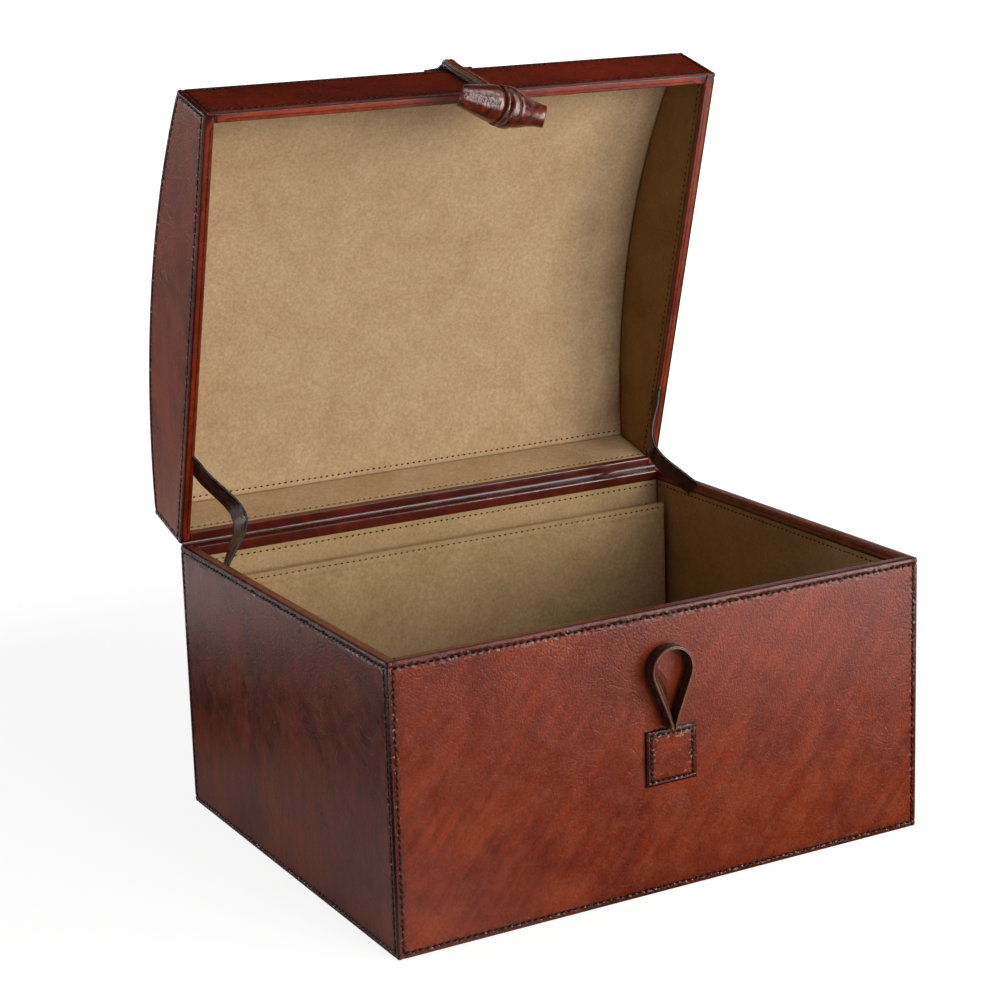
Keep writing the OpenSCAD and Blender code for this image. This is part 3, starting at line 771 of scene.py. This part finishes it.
hinge = sheet(lines(hinge_w, cut, cut), strip_lines(hinge_marks, cut, cut), lid_skin_t, hinge_face, wave=0.1)
hinge = keep(hinge, "hinge_leather_skin", hinge_leather, nodes=["hinge_leather"])
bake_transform(hinge)
hinge_rows = bmesh.new()
border(hinge_rows, hinge_face, hinge_w, hinge_marks[-1], sides="bt", inset=row_low)
hinge_rows = keep(hinge_rows, "hinge_thread", thread)
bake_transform(hinge_rows)
print("hinge leather is", round(hinge_marks[-1], 1), "mm wide")

# %% [markdown]
# ## Stays
#
# Two flat straps keep the lid from falling back. With the lid short of its limit they are slack, bow
# into the box and twist a little. Their ends are caught between the facing and the lining.

# %% Stays
stay_w, stay_t, stay_bow, stay_tab = 13.5, 1.8, 17.0, 9.0
# Each end's distance from the hinge and from the rim
stay_from_hinge, stay_from_rim = 53.0, 5.0
stay_low = Vector((box_d / 2 - stay_from_hinge, box_h - stay_from_rim))
stay_high = Vector((in_lid(0, stay_from_hinge, stay_from_rim) * 1000).yz)
stay_chord = (stay_high - stay_low).length
stay_way = (stay_high - stay_low).normalized()
stay_steps, stay_lean, stay_press, stay_press_run = 32, 0.85, 2.2, 0.05
stay_points = [(-stay_tab, -1.2), (-stay_tab / 2, -0.9)]
for k in range(stay_steps + 1):
    share = k / stay_steps
    lift = stay_bow / 2 * (1 - math.cos(2 * math.pi * share ** stay_lean))
    stay_points.append((stay_chord * share, lift + stay_t
                        - stay_press * math.exp(-(share / stay_press_run) ** 2)
                        - stay_press * math.exp(-((1 - share) / stay_press_run) ** 2)))
stay_points += [(stay_chord + stay_tab / 2, -0.9), (stay_chord + stay_tab, -1.2)]
stay_2d, stay_marks = follow(stay_points)
# Each strap has taken a twist, the left one in its lower half and the right one higher up
stay_twist = 0.32
for side, name, turn_at, turn_over in ((-1, "left_stay", 0.34, 0.17), (1, "right_stay", 0.64, 0.21)):

    def stay_face(p, v, w, side=side, turn_at=turn_at, turn_over=turn_over):
        spot = stay_2d(p, w)
        q = v - stay_w / 2
        twist = stay_twist * math.exp(-((p / stay_marks[-1] - turn_at) / turn_over) ** 2)
        y = stay_low.x + spot.x * stay_way.x + q * stay_way.y
        z = stay_low.y + spot.x * stay_way.y - q * stay_way.x
        return in_box(side * (in_w / 2 - spot.y + twist * q), y, z)

    stay = sheet(strip_lines(stay_marks), lines(stay_w, cut, cut, 3), stay_t - hair,
                 stay_face, wave=0.1, wave_mm=12)
    stay = keep(stay, name + "_strap", strap_leather, nodes=[name])
    in_box(0, stay_low.x, stay_low.y)
    in_box(0, stay_high.x, stay_high.y)
    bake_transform(stay)
print("stay chord, mm:", round(stay_chord, 1))

# %% [markdown]
# ## Patches and loop
#
# A sewn square on the front holds the loop, and one on the dome holds the toggle's strap. The loop is a
# strap on edge: it leaves the patch with its two legs pinched together, opens into a ring and leans a
# little to the left. The strap is folded double, and the inner half of its left leg has sprung open.

# %% Patches
patch_w, patch_h, patch_t, patch_top = 31.5, 31.0, 2.0, box_h - 65.5
patch_row, dome_patch_h, toggle_x = 2.7, patch_h + 3.4, 4.3
patch_turn = half_turn - 4.0 / dome_r
patch_edge = [(0.3, -1.8), (0.1, -1.2), (0.1, -0.7), (0.35, -0.25), (0.9, 0.0), (1.8, 0.0), (2.2, -0.12),
              (2.7, -0.38), (3.2, -0.12), (4.2, 0.0)]


def front_bulge(u, v):
    return 0.5 * math.exp(-((u - patch_w / 2) / 3.0) ** 2 - ((v - patch_h) / 8) ** 2)


def dome_bulge(u, v):
    rise = 3.0 * math.exp(-((u - patch_w / 2) / 4.2) ** 4) + 1.6 * math.exp(-((u - patch_w / 2) / 9) ** 2)
    return rise * max(0.0, min(1.0, (v - 14) / 12))


def sew_patch(name, body, height, stitch_w, bulge, face):
    us, vs = (lines(run, patch_edge, patch_edge, 2.5) for run in (patch_w, height))
    cover(name, "skin", panel_leather, body, "outer_leather", us, vs, patch_t - 2 * hair, face, wave=0.15,
          wave_mm=12, shape=bulge)
    rows = bmesh.new()
    border(rows, face, patch_w, height, inset=patch_row, wide=stitch_w, **patch_stitch)
    keep(rows, name + "_thread", thread, body)


sew_patch("closure_patch", "box", patch_h, 1.3, front_bulge,
          lambda u, v, w: in_box(u - patch_w / 2, -box_d / 2 - patch_t - w, patch_top - patch_h + v))
sew_patch("dome_patch", "lid", dome_patch_h, 1.15, dome_bulge,
          lambda u, v, w: arch(toggle_x + u - patch_w / 2, dome_r + patch_t + w,
                               patch_turn - (patch_h - v) / dome_r))
print("patches, mm:", patch_w, "by", patch_h, "and", dome_patch_h)

# %% Closure loop
loop_r, loop_t, loop_h, loop_depth, loop_lean, loop_gap = 12.0, 2.0, 33.6, 8.0, 2.1, 0.4
loop_skin_t, loop_row, loop_end = 1.5, 2.3, 5
foot_x, foot_z = 1.05, 4.2
leg_steps, arc_steps = 9, 18
foot_reach = math.hypot(foot_x, loop_h - foot_z)
leg_turn = math.asin(loop_r / foot_reach) - math.atan2(foot_x, loop_h - foot_z)
half_loop = [(foot_x, 0.9), (foot_x, 1.8), (foot_x, 2.8), (foot_x + 0.1, 3.8)]
leg_end = (loop_r * math.cos(leg_turn), loop_h - loop_r * math.sin(leg_turn))
for k in range(1, leg_steps):
    share = k / leg_steps
    half_loop.append((foot_x + (leg_end[0] - foot_x) * share, foot_z + (leg_end[1] - foot_z) * share))
for k in range(arc_steps + 1):
    turn = -leg_turn + (math.pi / 2 + leg_turn) * k / arc_steps
    half_loop.append((loop_r * math.cos(turn), loop_h + loop_r * math.sin(turn)))
loop_2d, loop_marks = follow([(-x, z) for x, z in half_loop] + half_loop[-2::-1])


def loop_face(p, v, w):
    spot = loop_2d(p, w + loop_t / 2)
    return in_box(spot.x - loop_lean, -box_d / 2 - loop_gap - v, patch_top + spot.y)


def inner_loop_face(p, v, w):
    return loop_face(p, v, -loop_skin_t - hair - w)


# Painted shade: the loop is drawn near black, much darker than the same strip's inner half
loop_skin = leather("bridle leather loop", "#3c140b", "#240b06", "#58281a", "#6e4832", rough=0.34, pull=0.0)
loop_edge = [(0.1, -1.0), (0.0, -0.6), (0.05, -0.3), (0.25, -0.08), (0.7, 0.0), (1.6, 0.0), (2.0, -0.12),
             (2.3, -0.2), (2.6, -0.12), (3.2, 0.0)]
across_loop = lines(loop_depth, loop_edge, loop_edge, 2.2)
cover("closure_loop", "strap", loop_skin, "loop", "strap_leather",
      strip_lines(loop_marks), across_loop, loop_skin_t, loop_face, wave=0.15, wave_mm=9)

# The inner half of the left leg, sprung open toward the panel
fold_start, fold_run, fold_spread, fold_t, fold_end = 4.5, 38.0, 8.0, 0.9, 3
fold_rest, fold_off = 1.7, 0.9
# Painted light: the inner half is the same strip as the loop, drawn in a far lighter red-brown for the light
# on it
lit_fold_skin = leather("bridle leather loop, inner half, painted light", "#7a3220", "#541c12", "#8c4630", "#4a2414", rough=0.36,
                    pull=0.0, pebble=0.2)


def fold_face(p, v, w):
    spread = (fold_off + fold_spread * (1 - v / loop_depth)) * math.sin(math.pi * p / fold_run)
    return loop_face(fold_start + p, v, -fold_rest - spread - w)


cover("closure_loop", "fold", lit_fold_skin, "loop", "strap_leather",
      lines(fold_run, hidden_end, hidden_end, 2.0), across_loop, fold_t, fold_face, wave=0.15, wave_mm=9)
loop_rows = bmesh.new()
row_at(loop_rows, fold_face, loop_depth - loop_row, fold_end, fold_run - fold_end, **strap_stitch)
for row in (loop_row, loop_depth - loop_row):
    for face in (loop_face, inner_loop_face):
        row_at(loop_rows, face, row, loop_end, loop_marks[-1] - loop_end, **strap_stitch)
keep(loop_rows, "closure_loop_thread", thread, "loop")
print("loop strap length, mm:", round(loop_marks[-1], 1))

# %% [markdown]
# ## Toggle and its strap
#
# The toggle is one tapered piece of leather, rolled up tight, with its ends cut aslant. A narrow wrap
# pinches it round the middle. Its strap is folded double and sewn, comes over the lid's front edge and
# hangs past the rim.

# %% Toggle strap
toggle_l, toggle_end_r, toggle_mid_r, toggle_drop = 59.0, 6.0, 10.8, 26.0
strap_w, strap_t, strap_out, strap_gap, strap_row = 6.0, 4.0, 2.7, 0.25, 1.5
# The strap ends on top of the wrap, this far above the toggle's axis and turned this far to the front
strap_end_r, strap_end_turn = toggle_mid_r + 1.2, math.radians(14.0)
strap_lean = math.tan(math.radians(2.0))


def on_dome(turn, up):
    return (box_d / 2 + (dome_r + up) * math.sin(turn), dome_cz + (dome_r + up) * math.cos(turn))


def on_wall(t):
    return (box_d + strap_out + (lid_wall_h - t) * strap_lean, t)


def smooth_route(keys, steps):
    keys = [Vector(k) for k in keys]
    out = []
    for k in range(len(keys) - 1):
        a, b, c, d = keys[max(k - 1, 0)], keys[k], keys[k + 1], keys[min(k + 2, len(keys) - 1)]
        for step in range(steps):
            t = step / steps
            out.append(0.5 * (2 * b + (c - a) * t + (2 * a - 5 * b + 4 * c - d) * t * t
                              + (3 * b - a - 3 * c + d) * t ** 3))
    return out + [keys[-1]]


edge_way = Vector((1 + math.sin(half_turn), math.cos(half_turn))).normalized()
strap_corner = Vector((box_d, lid_wall_h)) + (strap_out + 0.8) * edge_way
strap_keys = [on_dome(patch_turn - 9.0 / dome_r, 0.8), on_dome(patch_turn + 0.3 / dome_r, strap_out - 0.3),
              strap_corner, on_wall(lid_wall_h - 5), on_wall(lid_wall_h / 2), on_wall(0),
              (box_d + strap_end_r * math.sin(strap_end_turn),
               strap_end_r * math.cos(strap_end_turn) - toggle_drop)]
strap_2d, strap_marks = follow(smooth_route(strap_keys, 7))
strap_edge = [(0.1, -0.9), (0.0, -0.5), (0.1, -0.2), (0.4, -0.05), (0.9, 0.0, 1.8)]
strap_skin = leather("bridle leather strap", "#7a3220", "#541c12", "#96523c", "#85735f", rough=0.4, pull=0.0)


def strap_layer(top):
    def place(p, v, w):
        spot = strap_2d(p, w + top)
        return in_lid(toggle_x + v - strap_w / 2, spot.x, spot.y)

    return place


for name, top in (("toggle_strap_outer", strap_t / 2), ("toggle_strap_inner", 0.0)):
    layer = sheet(strip_lines(strap_marks), lines(strap_w, strap_edge, strap_edge, 1.4),
                  strap_t / 2 - strap_gap, strap_layer(top), wave=0.1, wave_mm=8)
    layer = keep(layer, name, strap_skin, nodes=["toggle_strap"])
    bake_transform(layer)
strap_rows = bmesh.new()
for row in (strap_row, strap_w - strap_row):
    row_at(strap_rows, strap_layer(strap_t / 2), row, 11, strap_marks[-1] - 2, **strap_stitch)
strap_rows = keep(strap_rows, "toggle_strap_thread", glint_strap_thread)
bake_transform(strap_rows)
print("toggle strap length, mm:", round(strap_marks[-1], 1))

# %% Rolled toggle
tilt = math.radians(17.0)
toggle_axis = (in_lid(math.cos(tilt), -math.sin(tilt), 0) - in_lid(0, 0, 0)).normalized()
toggle_mid = in_lid(toggle_x, box_d, -toggle_drop)
toggle_side = (in_lid(0, 0, 1) - in_lid(0, 0, 0)).normalized()
toggle_out = toggle_axis.cross(toggle_side)
half_l = toggle_l / 2


def spun(profile):
    bm = bmesh.new()
    verts = [bm.verts.new((r, 0, z)) for r, z in profile]
    rim = [bm.edges.new(pair) for pair in zip(verts, verts[1:])]
    bmesh.ops.spin(bm, geom=verts + rim, cent=(0, 0, 0), axis=(0, 0, 1), steps=72,
                   angle=2 * math.pi, use_merge=True)
    bmesh.ops.remove_doubles(bm, verts=bm.verts[:], dist=0.001)
    return bm


def keep_turned(bm, name):
    for vert in bm.verts:
        a, b, c = vert.co
        vert.co = toggle_mid + (toggle_axis * c + toggle_side * a + toggle_out * b) / 1000
    bmesh.ops.recalc_face_normals(bm, faces=bm.faces[:])
    keep(bm, name + "_leather", toggle_leather, "toggle", [name])


left_cone = [(-half_l + 0.9, toggle_end_r + 0.3), (-24.5, 7.3), (-17.0, 8.7), (-10.0, 10.0), (-7.0, 10.3),
             (-5.3, 9.8), (-4.0, 9.7)]
right_cone = [(4.0, 9.7), (5.3, 9.9), (7.0, 10.4), (10.0, 10.0), (14.0, 8.9), (18.0, 7.6), (22.0, 6.9),
              (26.0, 6.5), (half_l - 0.9, toggle_end_r + 0.4)]
cap = [(toggle_end_r + 0.15, half_l - 0.6), (toggle_end_r + 0.1, half_l - 0.15), (toggle_end_r - 0.1, half_l)]
cap += [(toggle_end_r - 0.5 - 0.26 * k, half_l) for k in range(21)] + [(0.0, half_l)]
roll_profile = [(r, -z) for r, z in reversed(cap)]
roll_profile += [(r, z) for z, r in smooth_route(left_cone, 6) + smooth_route(right_cone, 6)] + cap
rolled = spun(roll_profile)
layer_pitch, groove_depth, slant_start = 1.7, 0.6, 8
for vert in rolled.verts:
    radius, turn = math.hypot(vert.co.x, vert.co.y), math.atan2(vert.co.y, vert.co.x)
    if abs(vert.co.z) > half_l - 0.05 and 0.01 < radius < toggle_end_r - 0.3:
        # The end shows the layers of the roll as a spiral groove
        wind = (radius / layer_pitch - turn / (2 * math.pi)) % 1.0
        vert.co.z -= math.copysign(groove_depth * max(0.0, 1 - abs(wind - 0.5) * 6), vert.co.z)
    elif radius > 0.01:
        # Wrinkles, and the overlap where the rolled piece ends
        crinkle = noise.noise(Vector((vert.co.x / 3.2, vert.co.y / 3.2, vert.co.z / 7.5)))
        fold = noise.noise(Vector((vert.co.x / 7, vert.co.y / 7, vert.co.z / 16 + 9)))
        overlap = 0.5 * math.exp(-(((turn - 1.1) % (2 * math.pi)) / 0.35) ** 2)
        grow = 1 + (0.22 * crinkle + 0.25 * fold + overlap) / radius
        vert.co.x, vert.co.y = vert.co.x * grow, vert.co.y * grow
    # The roll's ends are cut aslant
    near_end = max(0.0, (abs(vert.co.z) - slant_start) / (half_l - slant_start))
    slant = 0.6 * vert.co.x if vert.co.z < 0 else 0.62 * vert.co.x - 0.16 * vert.co.y
    vert.co.z += slant * near_end ** 2
keep_turned(rolled, "toggle_roll")

# %% Wrap
band_in = toggle_mid_r - 1.6
# Pairs of height above the band's inside and place along the toggle
band = [(0.0, -5.1), (1.5, -5.1), (2.2, -4.7), (2.5, -3.9), (2.5, -3.2), (2.1, -2.5), (1.2, -2.2),
        (1.2, -1.7), (2.2, -1.5), (2.7, -0.8), (2.9, 0.6), (2.9, 2.4), (2.7, 3.8), (2.1, 4.8), (1.0, 5.1),
        (0.0, 5.1), (0.0, -5.1)]
keep_turned(spun([(band_in + up, along) for up, along in band]), "toggle_wrap")
print("toggle at", [round(1000 * v) for v in toggle_mid])

# %% [markdown]
# ## Floor, background and light
#
# A plain pale floor, a white backdrop behind it and five soft lights: the key at the right front, a
# broad one in front, one behind at the left, a weak one above, and a narrow one high at the right that
# shows only as a sheen on the rolled edges. The camera sees floor and backdrop as white. In the wax of
# the leather the ceiling shows dark and the front light hidden. The floor's brightness there is a painted
# reflection, set by place and up to 3.6 times white, so that the sheen grows toward the top of each side.

# %% Floor
floor_mesh = bmesh.new()
bmesh.ops.create_grid(floor_mesh, x_segments=4, y_segments=4, size=6)
floor_material, tree = blank(bpy.data.materials, "white paper sweep")
path, spot = add(tree, "LightPath"), place_of(tree)
reach = add(tree, "VectorMath", {0: spot}, operation="LENGTH").outputs["Value"]
seen = calc(tree, "MULTIPLY", path.outputs["Is Camera Ray"], scaled(tree, reach, 0.5, 1.6, 0.6, 1.0))
# Painted reflection: for glossy rays the floor is dark beside the box and bright, up to 3.6 times white,
# farther out and toward the front right; it shows only as sheen on the leather
far = ramp(tree, calc(tree, "MULTIPLY", reach, 0.5), (0.12, 1.2), (0.17, 0.02), (0.25, 0.02), (0.3, 3.6),
           (0.38, 3.2), (0.5, 0.6))
across = add(tree, "SeparateXYZ", {0: spot})
ahead = scaled(tree, across.outputs["Y"], -0.3, -0.44, 0.05, 1.0)
rightward = scaled(tree, across.outputs["X"], 0.15, 0.42, 0.03, 2.8)
in_front = scaled(tree, across.outputs["X"], -0.12, -0.02, 0.0, 1.0)
painted_reflection = mix_values(tree, in_front, far, calc(tree, "MULTIPLY", ahead, rightward))
tint = mix_values(tree, path.outputs["Is Glossy Ray"], 0.8, painted_reflection)
paper = add(tree, "BsdfDiffuse", {"Color": tint})
glow = add(tree, "Emission", {"Color": colour(1), "Strength": 1.45})
mixed = add(tree, "MixShader", {0: seen, 1: paper.outputs[0], 2: glow.outputs[0]})
add(tree, "OutputMaterial", {"Surface": mixed.outputs[0]})
floor = keep(floor_mesh, "floor", floor_material)
print("the floor is 12 m wide, made of", floor_material.name)

# %% Surroundings
world, tree = blank(bpy.data.worlds, "white surroundings")
bpy.context.scene.world = world
way = add(tree, "SeparateXYZ", {0: place_of(tree, "Generated")})
height = ramp(tree, way.outputs["Z"], (0.0, 1), (0.15, 0.6), (0.3, 0.06), (0.5, 0.0))
behind = scaled(tree, way.outputs["Y"], 0.08, 0.6, 0.05, 1.0)
level = calc(tree, "ADD", calc(tree, "MULTIPLY", height, behind), 0.012)
backdrop = add(tree, "Background", {"Color": colour(1), "Strength": level})
white = add(tree, "Background", {"Color": colour(1), "Strength": 1.0})
mixed = add(tree, "MixShader", {0: add(tree, "LightPath").outputs["Is Camera Ray"], 1: backdrop.outputs[0],
                                2: white.outputs[0]})
add(tree, "OutputWorld", {"Surface": mixed.outputs[0]})
print("surroundings:", world.name)

# %% Lights


def soft_light(name, at, to, size, power):
    lamp = bpy.data.lights.new(name, "AREA")
    lamp.shape, lamp.energy = "RECTANGLE", power
    lamp.size, lamp.size_y = size
    made = bpy.data.objects.new(name, lamp)
    bpy.context.scene.collection.objects.link(made)
    made.location = at
    made.rotation_euler = (Vector(to) - Vector(at)).to_track_quat("-Z", "Y").to_euler()
    return made


box_middle = (0, 0, 0.2)
soft_light("key_light", (1.5, -1.65, 0.74), box_middle, (0.8, 1.4), 27.0)
front_light = soft_light("front_light", (0.5, -2.5, 0.85), box_middle, (1.2, 1.2), 40.0)
front_light.visible_glossy = False
soft_light("back_light", (-2.2, 1.6, 0.6), box_middle, (1.2, 0.8), 20.0)
soft_light("top_light", (-0.2, 0.15, 2.1), (0, 0, 0.1), (1.2, 1.2), 3.3)
edge_light = soft_light("edge_light", (0.85, -0.55, 1.7), (0, -0.13, 0.16), (0.6, 1.2), 7.0)
edge_light.visible_diffuse = False
bpy.context.scene.view_settings.view_transform = "Standard"
print("lights:", len(bpy.data.lights))
